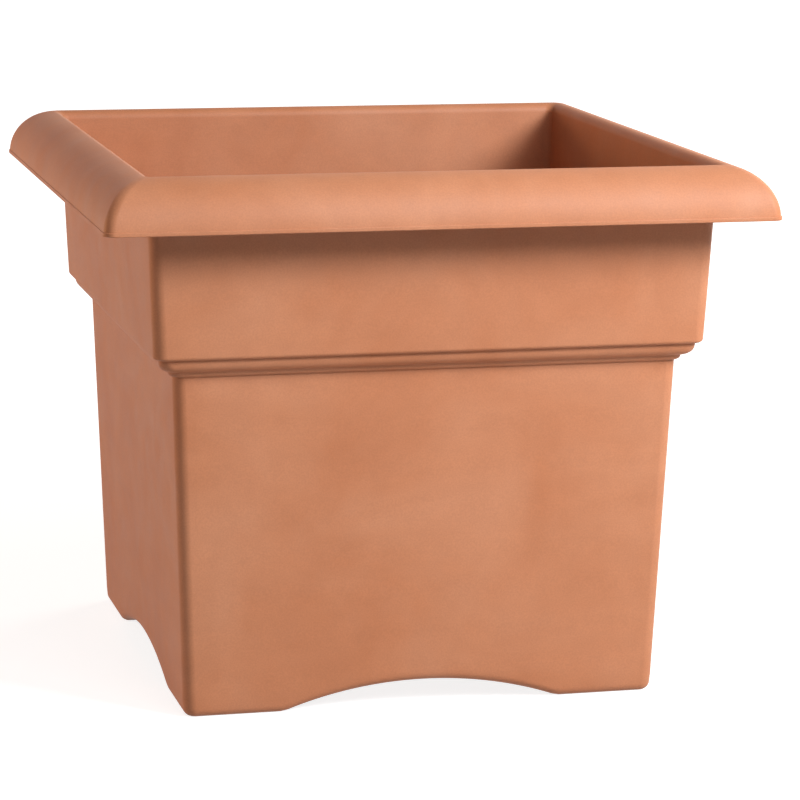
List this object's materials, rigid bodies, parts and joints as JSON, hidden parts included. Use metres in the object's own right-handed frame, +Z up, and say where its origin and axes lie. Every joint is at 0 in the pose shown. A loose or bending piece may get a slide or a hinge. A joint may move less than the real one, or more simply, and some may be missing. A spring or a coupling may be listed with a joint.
{
  "type": "square planter with a rolled rim",
  "caption": "Square moulded planter with a wide rolled rim, a tapered collar over a stepped moulding, arched feet and press-in drain plugs in a raised floor",
  "frame": {"origin": "centre of the footprint, on the ground", "axes": "+Z up, -Y towards the viewer of the picture's front face, +X right"},
  "size_m": [0.381, 0.381, 0.3104],
  "materials": {
    "terracotta_plastic": "matte, finely mottled terracotta",
    "plug_plastic": "matte terracotta, softer plastic"
  },
  "bodies": {
    "planter": {"planter_body": "terracotta_plastic"},
    "drain_plug_front_left": {"drain_plug_front_left": "plug_plastic"},
    "drain_plug_front_right": {"drain_plug_front_right": "plug_plastic"},
    "drain_plug_back_left": {"drain_plug_back_left": "plug_plastic"},
    "drain_plug_back_right": {"drain_plug_back_right": "plug_plastic"}
  },
  "joints": [
    {"name": "drain_plug_front_left_slide", "type": "slide", "parent": "planter", "child": "drain_plug_front_left", "axis": [0, 0, -1], "range_m": [0, 0.012]},
    {"name": "drain_plug_front_right_slide", "type": "slide", "parent": "planter", "child": "drain_plug_front_right", "axis": [0, 0, -1], "range_m": [0, 0.012]},
    {"name": "drain_plug_back_left_slide", "type": "slide", "parent": "planter", "child": "drain_plug_back_left", "axis": [0, 0, -1], "range_m": [0, 0.012]},
    {"name": "drain_plug_back_right_slide", "type": "slide", "parent": "planter", "child": "drain_plug_back_right", "axis": [0, 0, -1], "range_m": [0, 0.012]}
  ]
}
